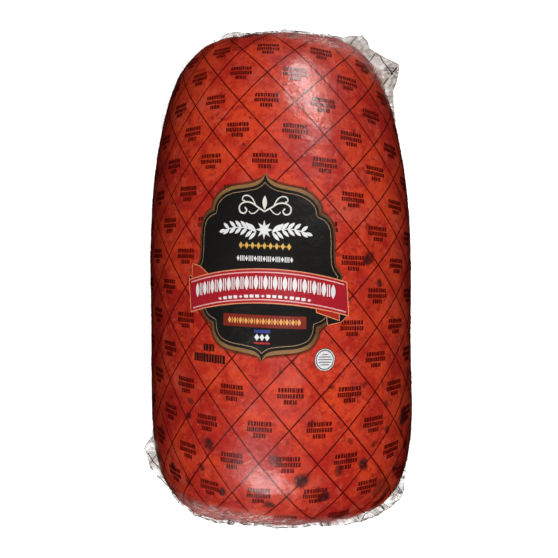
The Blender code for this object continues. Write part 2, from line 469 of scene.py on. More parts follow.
# Seen through the film, all that lies under it has the film's two kinds of gloss: sharp glints from
# its crinkles and a wide soft sheen.
UNDER_FILM = {"Roughness": 0.18, "Specular IOR Level": 0.55, "Coat Roughness": 0.40}
HAM_ORANGE, HAM_RED, HAM_DEEP = (0.760, 0.060, 0.017, 1), (0.480, 0.018, 0.011, 1), (0.330, 0.010, 0.007, 1)
HAM_PINK, HAM_PALE = (0.700, 0.105, 0.066, 1), (0.800, 0.200, 0.120, 1)
SMOKE_BROWN, STAIN_BLACK = (0.110, 0.008, 0.006, 1), (0.022, 0.008, 0.008, 1)
SPOT_SCALE, SPOT_EDGE, SPOT_DARK = 62.0, (0.15, 0.05), 0.75
SPOTTED = (0.12, -0.14, 0.06, 0.34)  # from a place near the head to the foot end: 6% to 34% have a spot
STAIN_EDGE, STAIN_COVER, STAIN_STREAKS = (1.15, 0.50), 0.72, 0.30
# Darkening down the two sides: partly deeper smoke, partly painted shade where the sides turn away from the
# light.
SMOKED_AND_SHADED_SIDE, SMOKE_AND_SHADE_REACH, SIDE_SMOKE_AND_SHADE = radians(88), (radians(40), radians(4)), 0.34
# Stains where the ham touched the smoke rack or caught more smoke: degrees round from the top,
# millimetres towards the head end, radius in millimetres, and how dark.
STAINS = [
    (62, -86, 6.4, 1.0), (67, -104, 4.8, 0.9), (59, -118, 4.4, 1.0), (38, 11, 4.0, 0.9),
    (44, -5, 2.7, 0.9), (8, -118, 5.0, 1.0), (18, -129, 4.4, 1.0), (24, -114, 3.6, 0.8),
    (35, -111, 4.0, 1.0), (-3, -106, 4.2, 0.7), (-6, -134, 3.2, 0.8), (-27, -126, 2.9, 1.0),
    (-31, -99, 4.4, 0.9), (-36, -112, 3.0, 0.9), (-55, -115, 3.8, 1.0), (-40, -73, 3.2, 0.7),
    (-41, -83, 2.6, 0.9), (-20, -133, 2.2, 0.7), (48, -76, 2.6, 0.7), (48, -92, 3.0, 0.8),
    (36, -63, 2.4, 0.7), (20, -64, 2.4, 0.8), (28, -97, 2.2, 0.7), (40, -99, 2.2, 0.7),
    (0, -55, 2.2, 0.6), (15, -123, 2.1, 0.6), (-15, 76, 1.4, 0.7), (-13, 93, 1.3, 0.7),
    (35, 86, 1.4, 0.7), (66, 20, 3.2, 0.8), (-33, 62, 1.6, 0.7), (27, 40, 1.5, 0.6), (5, -50, 1.6, 0.6),
    (11, -56, 1.8, 0.6), (-46, -124, 2.6, 0.8), (49, -128, 9.0, 0.55), (58, -134, 6.0, 0.75),
    (-62, -96, 6.0, 0.45), (70, -60, 5.0, 0.45), (118, -58, 4.6, 0.9), (150, 42, 3.8, 0.8),
    (100, 71, 3.2, 0.8), (-112, 24, 4.0, 0.9), (-142, -84, 4.8, 0.9), (-98, 88, 3.0, 0.8),
]

ham_material, sheet, shader = new_material("smoked_ham_surface", {**UNDER_FILM, "Coat Weight": 1.0})
place = sheet.place()
clusters = cloud(place, 0.0095, 4.0, 0.44, 0.62) * 0.55 + 0.16
colour = HAM_ORANGE
# (colour, how much of it shows, its patches: size, detail, two levels of noise, distortion)
for layer, share, patches in (
    (HAM_RED, 1.0, (0.040, 3.0, 0.38, 0.62)),
    (HAM_RED, 0.75, (0.012, 4.0, 0.44, 0.66, 0.5)),
    (HAM_ORANGE, 0.85, (0.015, 4.0, 0.48, 0.68, 0.4)),
    (HAM_PINK, 0.55, (0.022, 4.0, 0.54, 0.74)),
    (HAM_PINK, 0.45, (0.0040, 4.0, 0.52, 0.70)),
    (HAM_PALE, 0.45, (0.0015, 2.0, 0.64, 0.76)),
    (HAM_DEEP, clusters, (0.0027, 4.0, 0.44, 0.66, 0.4)),
    (HAM_RED, 0.60, (0.0050, 4.0, 0.54, 0.70, 0.3)),
    (SMOKE_BROWN, 0.60, (0.0058, 4.0, 0.60, 0.74, 0.2)),
):
    colour = mixed(cloud(place, *patches) * share, colour, layer)

# Small dark spots, more of them towards the foot end, and the large stains, all with ragged edges.
moved = place
for scale, reach, settings in (
    (260.0, 0.0038, {"Detail": 4.0, "Roughness": 0.7}), (85.0, 0.0060, {"Detail": 1.0}),
):
    shift = perlin(place, scale, "Color", **settings).vector_math("SUBTRACT", (0.5, 0.5, 0.5))
    moved = shift.vector_math("MULTIPLY_ADD", (reach,) * 3, moved)
px, py, pz = place.split()
cells = sheet.node("ShaderNodeTexVoronoi", {"Vector": moved, "Scale": SPOT_SCALE, "Randomness": 1.0}).outputs
has_spot = Value(cells["Color"]).split()[0] < py.ramp(*SPOTTED)
spot = Value(cells["Distance"]).eased(*SPOT_EDGE, top=SPOT_DARK)
colour = mixed(has_spot * spot, colour, SMOKE_BROWN)
stained = 0.0
for around, along, size, dark in STAINS:
    along, size = along / 1000, size / 1000
    radius, turn = log_radius(along, np.sign(along)), radians(around)
    centre = (radius * sin(turn) + LEAN * along, along, MIDDLE_HEIGHT + radius * cos(turn))
    off = moved.vector_math("DISTANCE", centre, output="Value")
    blot = off.eased(size * STAIN_EDGE[0], size * STAIN_EDGE[1], top=dark)
    stained = blot.math("MAXIMUM", stained)
streaks = cloud(place, 0.0026, 3.0, 0.34, 0.56)
colour = mixed(stained * (streaks * STAIN_STREAKS + STAIN_COVER), colour, STAIN_BLACK)

# Darker down the two sides of the log: partly deeper smoke, and partly painted shade where the sides turn
# away from the light.
turned = abs(px.math("ARCTAN2", pz - MIDDLE_HEIGHT))
smoke_and_shade = abs(turned - SMOKED_AND_SHADED_SIDE).eased(*SMOKE_AND_SHADE_REACH, top=SIDE_SMOKE_AND_SHADE)
plug(mixed(smoke_and_shade, colour, SMOKE_BROWN), shader.inputs["Base Color"])
add_crinkle(sheet, shader, 0.6)

ham = grow("smoked_ham", whole_skin, {"Stand Off": -HAM_UNDER_FILM, "Material": ham_material, **SKIN_MESH})
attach(ham, "root")
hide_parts("ham_pack")

# --- Shrink film ----------------------------------------------------------------------------------
# The bag itself: clear multilayer film, drawn tight on the meat by vacuum and hot water. It is all
# but invisible over the front, and goes milky where it is gathered towards the seals at both ends.
# The wrinkles' near-white colour is a painted glint, standing in for their bright highlights.
HAZE_COLOUR, WRINKLE_GLINT_COLOUR = (1.0, 0.30, 0.26, 1), (1.0, 0.84, 0.79, 1)
CLEAR_SHARE, HAZE_SHARE = 0.002, 0.80  # how much it veils what is under it: tight, and gathered

film_material, sheet, shader = new_material(
    "clear_shrink_film", {"Roughness": 0.14, "Specular IOR Level": 0.6},
)
gathered, folds, glint_dashes = add_crinkle(sheet, shader, 1.0)
# Painted glints: the short wrinkles along the rim take the near-white colour.
plug(mixed(glint_dashes, HAZE_COLOUR, WRINKLE_GLINT_COLOUR), shader.inputs["Base Color"])
patchy = folds.ramp(0.42, 0.62).math("MAXIMUM", cloud(sheet.place(), 0.007, 4.0, 0.32, 0.68, 0.8))
veil = glint_dashes * 0.45 + (patchy * 0.5 + 0.5)
plug(gathered * veil.math("MINIMUM", 1.35) * HAZE_SHARE + CLEAR_SHARE, shader.inputs["Alpha"])

film = grow("shrink_film", whole_skin, {"Stand Off": 0.0, "Material": film_material, **SKIN_MESH})
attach(film, "root")
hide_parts("ham_pack")

# --- Seal tails -----------------------------------------------------------------------------------
# Past each end the bag runs on as two welded layers of empty film, pulled in close round the log
# and crumpled, with ears at the corners. Bearings are in degrees from the way the end points.
TAIL_HEIGHT = 0.068
TAIL_SWEEP, TAIL_ROOT = 98, 0.006
# Each tail's width past the log, in millimetres, at these bearings from the left round to the right.
TAILS = {
    "head_tail": {
        "side": 1, "phase": 0.4,
        "bearings": (-98, -60, -42, -30, 0, 24, 41, 47.5, 55, 60, 68, 73, 79, 90, 98),
        "widths": (3.0, 2.6, 6.0, 8.4, 9.0, 8.9, 7.2, 13.6, 8.6, 9.8, 17.2, 13.0, 5.6, 1.4, 0.4),
    },
    "foot_tail": {
        "side": -1, "phase": 1.9,
        "bearings": (-98, -92, -87, -78, -67, -48, -36, 0, 34, 48, 66, 73, 80, 98),
        "widths": (0.4, 1.6, 7.8, 6.2, 3.0, 9.6, 12.0, 12.5, 13.2, 12.0, 8.6, 3.4, 0.8, 0.4),
    },
}
TAIL_WAVE, TAIL_WAVES, ROOT_WAVE_SHARE = 0.0022, 9, 0.35
TAIL_FILM = 0.00025
# The film's sharp folds: the way they run in degrees, the distance between them, and their height.
CREASES = [(24, 0.0150, 0.0017), (-47, 0.0110, 0.0013), (81, 0.0075, 0.0009), (-8, 0.0052, 0.0005)]
CREASE_BEND, CREASE_BEND_SIZE = 0.6, 0.018
RAGGED_EDGE, RAGGED_SIZE = 0.0005, 0.004
TAIL_STEPS = (420, 22)
# Painted shade: the dark colour is for the film's folds and free edge, the tan one for the gap beside the
# log.
TAIL_WHITE, TAIL_GREY, TAIL_FOLD_SHADE = (0.88, 0.83, 0.79, 1), (0.56, 0.50, 0.44, 1), (0.060, 0.040, 0.036, 1)
TAIL_ROOT_SHADE, TAIL_BLUSH = (0.56, 0.34, 0.28, 1), (0.50, 0.10, 0.085, 1)
EAR_MIDDLE, EAR_FADE = (0.060, 0.128, 0.068), (0.040, 0.026)
DARK_FOLDS_ROUND, DARK_FOLDS_DOWN = 26.0, 150.0  # for each radian about the hub, and metre of height
FOOT_BLUSH, FOOT_FACE = (0.050, 0.030), -0.141
HEAD_BLUSH, HEAD_BLUSH_STOPS, HEAD_FACE = (-0.026, -0.012), 0.038, 0.128
TIGHT_FADE, TIGHT_SHOWS = (-0.045, -0.025), 0.30
EDGE_SEARCH = 441  # steps along a bearing to find the log's edge


def tail_reach(bearing, tail):
    """How far the log's outline is from the tail's hub along this bearing, and the tail's width past it."""
    reach = np.linspace(0, LOG_RADIUS * 1.1, EDGE_SEARCH)
    y = tail["side"] * (TAIL_HUB + reach * cos(bearing))
    inside = reach * abs(sin(bearing)) < log_radius(y, tail["side"]) * (np.abs(y) < LOG_LENGTH / 2)
    width = np.interp(degrees(bearing), tail["bearings"], tail["widths"]) / 1000
    return float(reach[inside].max()), float(width)


def tail_point(bearing, out, tail, reaches):
    """A point of a tail's film: bearing in radians, and out from 0 inside the log to 1 at its edge."""
    log_edge, width = reaches
    reach = log_edge - TAIL_ROOT + (width + TAIL_ROOT) * out
    x, y = reach * sin(bearing), tail["side"] * (TAIL_HUB + reach * cos(bearing))
    height = TAIL_WAVE * sin(TAIL_WAVES * bearing + tail["phase"])
    bend = CREASE_BEND * noise.noise(Vector((x, y, tail["phase"])) / CREASE_BEND_SIZE)
    for way, apart, depth in CREASES:
        fold = (x * sin(radians(way)) + y * cos(radians(way))) / apart + bend + tail["phase"]
        height += depth * (4 * abs(fold - floor(fold) - 0.5) - 1)
    share = ROOT_WAVE_SHARE + (1 - ROOT_WAVE_SHARE) * out
    ragged = RAGGED_EDGE * noise.noise(Vector((x, y, 3 + tail["phase"])) / RAGGED_SIZE) * out ** 4
    x, y = x + ragged * sin(bearing), y + tail["side"] * ragged * cos(bearing)
    return x + LEAN * y, y, TAIL_HEIGHT + height * share


def piece_of(name, points, faces, material):
    """A new piece from points and faces, smooth, with its material."""
    mesh = bpy.data.meshes.new(name)
    mesh.from_pydata([tuple(p) for p in points], [], [tuple(f) for f in faces])
    mesh.materials.append(material)
    mesh.shade_smooth()
    piece = bpy.data.objects.new(name, mesh)
    bpy.context.collection.objects.link(piece)
    return piece


tail_material, sheet, shader = new_material("crumpled_film", {"Roughness": 0.14, "Specular IOR Level": 0.9})
place = sheet.place()
px, py, pz = place.split()
bearing = px.math("ARCTAN2", abs(py) - TAIL_HUB)
# Painted shade: dark folds fan out from the tail's hub, in the creases of the crumpled film.
fan = vector(bearing * DARK_FOLDS_ROUND, pz * DARK_FOLDS_DOWN, 0.0)
dark = perlin(fan, 1.0, Detail=3.0, Distortion=0.6).ramp(0.53, 0.64)
# Painted shade: the dark folds also run along the free edge, and in the gap beside the log, where the film
# also takes a tan painted shade.
_, out, _ = sheet.get("ShaderNodeUVMap", uv_map="tail_uv").split()
gap = out.ramp(0.55, 0.38)
broken = cloud(place, 0.0032, 3.0, 0.44, 0.56, 0.6)
dark = dark.math("MAXIMUM", out.ramp(0.90, 0.97).math("MAXIMUM", gap * 0.8) * broken)
colour = mixed(cloud(place, 0.0070, 3.0, 0.42, 0.60, 1.0), TAIL_WHITE, TAIL_GREY)
colour = mixed(gap * 0.8, colour, TAIL_ROOT_SHADE)
# Where the film lies on the meat's end, all but its free edge has the meat's colour.
foot_left = px.ramp(*FOOT_BLUSH) * (py < FOOT_FACE)
head_middle = px.ramp(*HEAD_BLUSH) * (py > HEAD_FACE) * (px < HEAD_BLUSH_STOPS)
blush = out.ramp(0.93, 0.86) * foot_left.math("MAXIMUM", head_middle)
colour = mixed(blush * 0.85, colour, TAIL_BLUSH)
# The large ear at the head end is folded over on itself, so it hides more and has fewer dark gaps.
folded = place.vector_math("DISTANCE", EAR_MIDDLE, output="Value").eased(*EAR_FADE)
plug(mixed(dark * (folded * -0.45 + 0.85), colour, TAIL_FOLD_SHADE), shader.inputs["Base Color"])
thin = gap * 0.30 + (cloud(place, 0.005, 3.0, 0.35, 0.60, 0.6) * 0.40 + 0.20)
alpha = (folded * 0.60 + thin).math("MAXIMUM", dark * 0.9)
# At the head's left the film is drawn in so tightly that hardly any of it shows.
tight = px.ramp(*TIGHT_FADE, bottom=TIGHT_SHOWS)
alpha = alpha * tight.math("MAXIMUM", py < 0.0)
plug(alpha.math("MAXIMUM", blush * 0.92), shader.inputs["Alpha"])
add_crinkle(sheet, shader, 0.8)

for name, tail in TAILS.items():
    along, across = TAIL_STEPS
    points = []
    for i in range(along + 1):
        bearing = radians(TAIL_SWEEP) * (2 * i / along - 1)
        reaches = tail_reach(bearing, tail)
        points += [tail_point(bearing, j / across, tail, reaches) for j in range(across + 1)]
    row = across + 1
    faces = [
        (i * row + j, (i + 1) * row + j, (i + 1) * row + j + 1, i * row + j + 1)[:: -tail["side"]]
        for i in range(along) for j in range(across)
    ]
    piece = piece_of(name, points, faces, tail_material)
    uv = piece.data.uv_layers.new(name="tail_uv")
    for loop in piece.data.loops:
        i, j = divmod(loop.vertex_index, row)
        uv.data[loop.index].uv = (i / along, j / across)
    welded = piece.modifiers.new("two layers", "SOLIDIFY")
    welded.thickness = TAIL_FILM
    welded.offset = 0
    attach(piece, "root")
    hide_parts("ham_pack")

# --- Printed net ----------------------------------------------------------------------------------
# The bag is printed all over with a net of thin dark lines, like the netting that hams were smoked
# in, and with three short rows of small marks in each of its diamonds. The ink is under the film.
NET_COLUMNS = 15  # round the whole bag
NET_WIDE, NET_HIGH = 2 * pi * LOG_RADIUS / NET_COLUMNS, 0.03395
NET_START = (0.01725, -0.04214)  # the crossing nearest below the label, in the flat print
NET_LINE, NET_STEP, NET_REACH = 0.00076, 0.0015, 0.215
RUN_LIMITS = (-(FOOT_RUN - 0.022), HEAD_RUN - 0.026)
INK_UNDER_FILM, INK_LAYER = 0.00030, 0.00005
# How the flat print lies on the tight bag: the film is stretched along the front, drawn a little to
# one side, and the rows sag to the foot end at both sides.
LEAN_OF_COLUMNS, SIDE_DRAW, SIDE_TWIST, TWIST_LIMIT = 0.033, -0.0101, -0.599, 0.14
ROW_TILT, FRONT_STRETCH, ROW_SAG, ROW_SAG_CUBED = -0.00367, 0.13796, -0.301, -0.24

wrap, sheet, given, result = node_group(
    "GeometryNodeTree", "wrap_print",
    {"Geometry": "Geometry", "Stand Off": "Float", "Material": "Material"}, {"Geometry Out": "Geometry"},
)
across, along, lift = sheet.get("GeometryNodeInputPosition").split()
sine, cosine = ((across / LOG_RADIUS).math(wave) for wave in ("SINE", "COSINE"))
held = along.math("MINIMUM", TWIST_LIMIT).math("MAXIMUM", -TWIST_LIMIT)
drawn = along * LEAN_OF_COLUMNS + (cosine * SIDE_DRAW + across + held * held * SIDE_TWIST * sine)
sag = held * held * (held * ROW_SAG_CUBED + ROW_SAG)
run = along * (cosine * FRONT_STRETCH + 1.0) + (sine * ROW_TILT + sag)
point = sheet.get("GeometryNodeGroup", {
    "Turn": drawn / LOG_RADIUS, "Run": run, "Stand Off": given["Stand Off"] + lift, "Gather": 1.0,
}, node_tree=skin)
beyond = (run < RUN_LIMITS[0]).math("MAXIMUM", run > RUN_LIMITS[1])
kept = sheet.get("GeometryNodeDeleteGeometry", {"Geometry": given["Geometry"], "Selection": beyond})
laid = sheet.get("GeometryNodeSetPosition", {"Geometry": kept, "Position": point})
plug(dressed(sheet, laid, given["Material"]), result["Geometry Out"])


def placed(sheet, shape, x=0.0, y=0.0, turn=0.0):
    """A shape turned in the flat print and moved to its place."""
    move = {"Geometry": shape, "Translation": (x, y, 0.0), "Rotation": (0.0, 0.0, turn)}
    return sheet.get("GeometryNodeTransform", move)


def joined(sheet, shapes):
    """Several shapes as one."""
    join = sheet.node("GeometryNodeJoinGeometry")
    for shape in shapes:
        plug(shape, join.inputs[0])
    return Value(join.outputs[0])


def grid(sheet, wide, high, across=2, up=2):
    """A flat grid, with this many points across and up."""
    sizes = {"Size X": wide, "Size Y": high, "Vertices X": across, "Vertices Y": up}
    return sheet.get("GeometryNodeMeshGrid", sizes)


def repeated(sheet, shape, points):
    """The shape at each of these points, as plain mesh."""
    copies = sheet.get("GeometryNodeInstanceOnPoints", {"Points": points, "Instance": shape})
    return sheet.get("GeometryNodeRealizeInstances", {"Geometry": copies})


net, sheet, given, result = node_group(
    "GeometryNodeTree", "net_lines", {"Columns": "Int", "Line Width": "Float"}, {"Geometry": "Geometry"},
)
steep = float(np.arctan2(NET_HIGH, NET_WIDE))
line_length = 2 * NET_REACH / sin(steep)
strips = [grid(sheet, line_length, given["Line Width"], round(line_length / NET_STEP) + 1) for _ in range(2)]
both_ways = joined(sheet, [placed(sheet, strip, turn=way * steep) for strip, way in zip(strips, (1, -1))])
row = sheet.get("GeometryNodeMeshLine", {
    "Count": given["Columns"], "Offset": (NET_WIDE, 0.0, 0.0),
    "Start Location": (NET_START[0] - NET_WIDE * (NET_COLUMNS // 2), NET_START[1], 0.0),
})
plug(repeated(sheet, both_ways, row), result["Geometry"])

# The marks: three rows of short blocks, at a height and with gaps that repeat in every diamond.
MARK_ROWS = [(0.00295, 0.0148, 9), (0.0, 0.0157, 11), (-0.00295, 0.0078, 5)]  # height, width, blocks
BLOCK_HIGH, BLOCK_INK, BLOCK_LEAST = 0.00225, 0.76, 0.65
MARK_ROW_COUNT = 15
# Where the stamp, the bold mark and the label's lower cusp are.
PLAIN_DIAMONDS = [(0.03500, -0.04214), (-0.03600, -0.04214), (-0.00056, -0.04214)]
PLAIN_REACH = 0.006


def uneven_row(draw, count, width, least):
    """Middles and widths of blocks that fill a row, drawn between least and 2 - least of an even share."""
    shares = draw.uniform(least, 2 - least, count)
    shares = shares / shares.sum() * width
    middles = np.cumsum(shares) - shares / 2 - width / 2
    return list(zip(middles.tolist(), shares.tolist()))


marks, sheet, given, result = node_group(
    "GeometryNodeTree", "small_marks", {"Block Height": "Float"}, {"Geometry": "Geometry"},
)
draw = np.random.default_rng(7)
mark = joined(sheet, [
    placed(sheet, grid(sheet, share * BLOCK_INK, given["Block Height"]), x=x, y=height)
    for height, width, count in MARK_ROWS for x, share in uneven_row(draw, count, width, BLOCK_LEAST)
])
lattice = (NET_WIDE * (NET_COLUMNS - 1), NET_HIGH * (MARK_ROW_COUNT - 1), NET_COLUMNS, MARK_ROW_COUNT)
points = joined(sheet, [
    placed(sheet, grid(sheet, *lattice), x=NET_START[0] + shift_x, y=NET_START[1] + shift_y)
    for shift_x, shift_y in ((NET_WIDE / 2, 0.0), (0.0, NET_HIGH / 2))
])
where = sheet.get("GeometryNodeInputPosition")
for plain in PLAIN_DIAMONDS:
    near = where.vector_math("DISTANCE", (*plain, 0.0), output="Value") < PLAIN_REACH
    points = sheet.get("GeometryNodeDeleteGeometry", {"Geometry": points, "Selection": near})
plug(repeated(sheet, mark, points), result["Geometry"])


def ink(name, colour, cover=1.0):
    """A printed ink, a little uneven in colour, under the film's gloss. Cover is how well it hides."""
    material, sheet, shader = new_material(name, {**UNDER_FILM, "Coat Weight": 0.75, "Alpha": cover})
    worn = perlin(sheet.place(), 700.0, Detail=2.0)
    thin, full = ([*(min(share * c, 1.0) for c in colour), 1] for share in (0.82, 1.14))
    plug(mixed(worn, thin, full), shader.inputs["Base Color"])
    add_crinkle(sheet, shader, 0.6)
    return material


def print_piece(name, flat, material, layer):
    """Wraps a flat print round the bag under its film. Layer 0 is the lowest ink, next to the meat."""
    stand_off = -INK_UNDER_FILM + layer * INK_LAYER
    piece = grow(name, wrap, {"Stand Off": stand_off, "Material": material}, start=flat)
    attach(piece, "root")


net_ink = ink("maroon_ink", (0.100, 0.0028, 0.0012), cover=0.96)
for name, tree, values in (
    ("printed_net", net, {"Columns": NET_COLUMNS, "Line Width": NET_LINE}),
    ("printed_marks", marks, {"Block Height": BLOCK_HIGH}),
):
    flat = grow(name + "_flat", tree, values)
    print_piece(name, flat.data.copy(), net_ink, 0)
    bpy.data.objects.remove(flat)

# --- Print on the tails ---------------------------------------------------------------------------
# The same net and one of the small marks, on the crumpled film of the tails. They lie on the upper
# side of the two layers, cut to the part that is in sight past the log.
TAIL_NET_MIDDLE, TAIL_NET_REACH = 0.12, 0.13  # metres along the log, and to each side
TAIL_NET_LINES = 7  # to each side
TAIL_NET_APART, TAIL_NET_STEEP = 0.0165, 52  # between lines, and their slope in degrees
TAIL_LINE, TAIL_LINE_STEP = 0.0006, 0.0009
TAIL_PRINT_LIFT = 0.00045
TAIL_IN_SIGHT = (0.12, 0.96)
DRAWN_IN = -0.02  # left of here none of the head's tail shows
EAR_MARK, EAR_MARK_TURN, EAR_MARK_SCALE, EAR_BLOCK_INK = (0.0722, 0.1350), -8, 0.55, 0.62


def over_tail(x, y, tail):
    """A point of the print over this place of a tail, or nothing if it is out of sight."""
    across, along = x - LEAN * y, tail["side"] * y - TAIL_HUB
    bearing = float(np.arctan2(across, along))
    log_edge, width = tail_reach(bearing, tail)
    out = (float(np.hypot(across, along)) - log_edge + TAIL_ROOT) / (width + TAIL_ROOT)
    if not TAIL_IN_SIGHT[0] < out < TAIL_IN_SIGHT[1] or abs(bearing) > radians(TAIL_SWEEP):
        return None
    if tail["side"] > 0 and x < DRAWN_IN:
        return None
    return x, y, tail_point(bearing, out, tail, (log_edge, width))[2] + TAIL_PRINT_LIFT


tail_ink = ink("dark_tail_ink", (0.045, 0.020, 0.018), cover=0.85)
for name, tail in TAILS.items():
    points, faces = [], []
    for slope in (-TAIL_NET_STEEP, TAIL_NET_STEEP):
        way = Vector((cos(radians(slope)), sin(radians(slope))))
        side = Vector((-way.y, way.x))
        for k in range(-TAIL_NET_LINES, TAIL_NET_LINES + 1):
            start = Vector((0, tail["side"] * TAIL_NET_MIDDLE)) + side * (k * TAIL_NET_APART)
            last = None
            for t in np.arange(-TAIL_NET_REACH, TAIL_NET_REACH, TAIL_LINE_STEP):
                at = start + way * float(t)
                pair = [over_tail(*(at + side * half), tail) for half in (TAIL_LINE / 2, -TAIL_LINE / 2)]
                if None in pair:
                    last = None
                    continue
                points += pair
                here = len(points) - 2
                if last is not None:
                    faces.append((last, last + 1, here + 1, here))
                last = here
    if tail["side"] > 0:
        c, s = (EAR_MARK_SCALE * f(radians(EAR_MARK_TURN)) for f in (cos, sin))
        for height, width, count in MARK_ROWS:
            for left in np.arange(count) / count * width - width / 2:
                right = left + width / count * EAR_BLOCK_INK
                corners = [(left, -1), (right, -1), (right, 1), (left, 1)]
                corners = [(float(a), height + b * BLOCK_HIGH / 2) for a, b in corners]
                corners = [(EAR_MARK[0] + a * c - b * s, EAR_MARK[1] + a * s + b * c) for a, b in corners]
                corners = [over_tail(x, y, tail) for x, y in corners]
                if None not in corners:
                    faces.append(range(len(points), len(points) + 4))
                    points += corners
    piece = piece_of(name + "_print", points, faces, tail_ink)
    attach(piece, "root")

# --- Label plaque ---------------------------------------------------------------------------------
# The label's ground, printed solid black in the shape of an old shop sign with a cusp on each side
# and round shoulders, with a tan border outside it and a fine tan line inside.
MM = 0.001
# The right half's edge from the top cusp down, in millimetres of flat print: smooth runs that meet
# in sharp corners.
PLAQUE_EDGE = [
    [(0, 53), (1.5, 49.2), (5.5, 46.4), (12, 45), (20, 43.9), (26.5, 41.2), (30.4, 37.2), (31.6, 33)],
    [(31.6, 33), (36, 31), (39.2, 26.8), (40.2, 20), (40.3, 12), (41.2, 6.5), (45, 1.5)],
    [(45, 1.5), (42.2, -6), (40.6, -12), (38.8, -18.4), (35.4, -22.4), (30.8, -24.4)],
    [
        (30.8, -24.4), (29.9, -29), (26.6, -33.2), (20, -35.6), (11, -36.6),
        (4.8, -37.6), (1.4, -39.6), (0, -42.4),
    ],
]
BORDER, FINE_LINE_INSET, FINE_LINE = 1.9, 1.7, 0.30
SIDES_MIDDLE, SIDES_HALF, SIDES_FADE, SIDES_SHARE = 4, 19, 14, 0.35  # where the border is narrower
EDGE_STEP, FILL_STEP, STROKE_STEP = 0.9, 2.2, 1.5
PLAQUE_MIDDLE, PLAQUE_SIDES, BORDER_BROWN = -0.0097, (0.020, 0.034), (0.075, 0.022, 0.010, 1)


def smooth(corners, step=EDGE_STEP):
    """A smooth line through these points, with a point at least every step."""
    ends = [corners[0], *corners, corners[-1]]
    line = [corners[0]]
    for before, start, end, after in zip(ends, ends[1:], ends[2:], ends[3:]):
        before, start, end, after = map(np.array, (before, start, end, after))
        pieces = max(1, int(np.hypot(*(end - start)) / step) + 1)
        for t in np.arange(1, pieces + 1) / pieces:
            curve = 2 * start + (end - before) * t + (2 * before - 5 * start + 4 * end - after) * t ** 2
            curve = (curve + (3 * start - before - 3 * end + after) * t ** 3) / 2
            line.append((float(curve[0]), float(curve[1])))
    return line


def spaced(line, step):
    """The line with points added, so that none is further than step from the next."""
    result = [line[0]]
    for (x0, y0), (x1, y1) in zip(line, line[1:]):
        pieces = max(1, int(np.ceil(np.hypot(x1 - x0, y1 - y0) / step)))
        result += [(x0 + (x1 - x0) * k / pieces, y0 + (y1 - y0) * k / pieces) for k in range(1, pieces + 1)]
    return result


def drawn_out(loop, distance, tips=(), taper=7.0):
    """A clockwise loop moved outward by this distance, without the points that would cross over. With
    tips given, the distance is less at the two sides and dies out towards the tips."""
    loop = np.array(loop)
    distance = np.full(len(loop), distance)
    if tips:
        past_sides = np.clip((np.abs(loop[:, 1] - SIDES_MIDDLE) - SIDES_HALF) / SIDES_FADE, 0, 1)
        distance *= SIDES_SHARE + (1 - SIDES_SHARE) * past_sides
    for tip in tips:
        distance *= np.clip(np.hypot(*(loop - tip).T) / taper, 0.08, 1) ** 0.7
    steps = (np.roll(loop, -1, 0) - loop, loop - np.roll(loop, 1, 0))
    normals = [np.column_stack([-step[:, 1], step[:, 0]]) / np.hypot(*step.T)[:, None] for step in steps]
    middle = normals[0] + normals[1]
    middle /= np.hypot(*middle.T)[:, None]
    mitre = np.minimum(1 / np.maximum((middle * normals[0]).sum(1), 0.3), 1.25)
    moved = loop + middle * (distance * mitre)[:, None]
    gap = np.hypot(*(moved[:, None] - loop[None]).transpose(2, 0, 1)).min(1)
    return [tuple(map(float, point)) for point in moved[gap > np.abs(distance) * (0.8 if tips else 0.97)]]


def plaque(distance=0.0):
    """The plaque's whole outline, clockwise from its top cusp, moved outward by this distance."""
    right = []
    for run in PLAQUE_EDGE:
        right += smooth(run)[:-1]
    right.append(PLAQUE_EDGE[-1][-1])
    loop = right + [(-x, y) for x, y in right[-2:0:-1]]
    cusps = (PLAQUE_EDGE[0][0], PLAQUE_EDGE[-1][-1]) if distance > 0 else ()
    return drawn_out(loop, distance, cusps) if distance else loop


def filled(outline):
    """Points and faces of a large shape, cut into small triangles so that it can bend."""
    edge = spaced(outline + outline[:1], FILL_STEP)[:-1]
    low, high = np.min(edge, 0), np.max(edge, 0)
    inner = [
        (x + (row % 2) * FILL_STEP / 2, y)
        for row, y in enumerate(np.arange(low[1], high[1], FILL_STEP * 0.87))
        for x in np.arange(low[0], high[0], FILL_STEP)
    ]
    gap = np.hypot(*(np.array(inner)[:, None] - np.array(edge)[None]).transpose(2, 0, 1)).min(1)
    inner = [point for point, near in zip(inner, gap) if near > FILL_STEP * 0.45]
    points = [Vector(point) for point in edge + inner]
    points, _, faces, *_ = geometry.delaunay_2d_cdt(points, [], [list(range(len(edge)))], 1, 1e-5)
    used = sorted({i for face in faces for i in face})
    place = {old: new for new, old in enumerate(used)}
    return [tuple(points[i]) for i in used], [[place[i] for i in face] for face in faces]


def stroked(line, width, closed=False):
    """Points and faces of a line of even width."""
    line = spaced(line + line[:1], STROKE_STEP)[:-1] if closed else spaced(line, STROKE_STEP)
    centre = np.array(line)
    ahead, behind = np.roll(centre, -1, 0), np.roll(centre, 1, 0)
    if not closed:
        ahead[-1], behind[0] = centre[-1], centre[0]
    way = ahead - behind
    way /= np.hypot(*way.T)[:, None]
    side = np.column_stack([-way[:, 1], way[:, 0]]) * width / 2
    count = len(centre)
    ring = [(i, (i + 1) % count) for i in range(count if closed else count - 1)]
    return np.vstack([centre + side, centre - side]).tolist(), [(count + a, count + b, b, a) for a, b in ring]


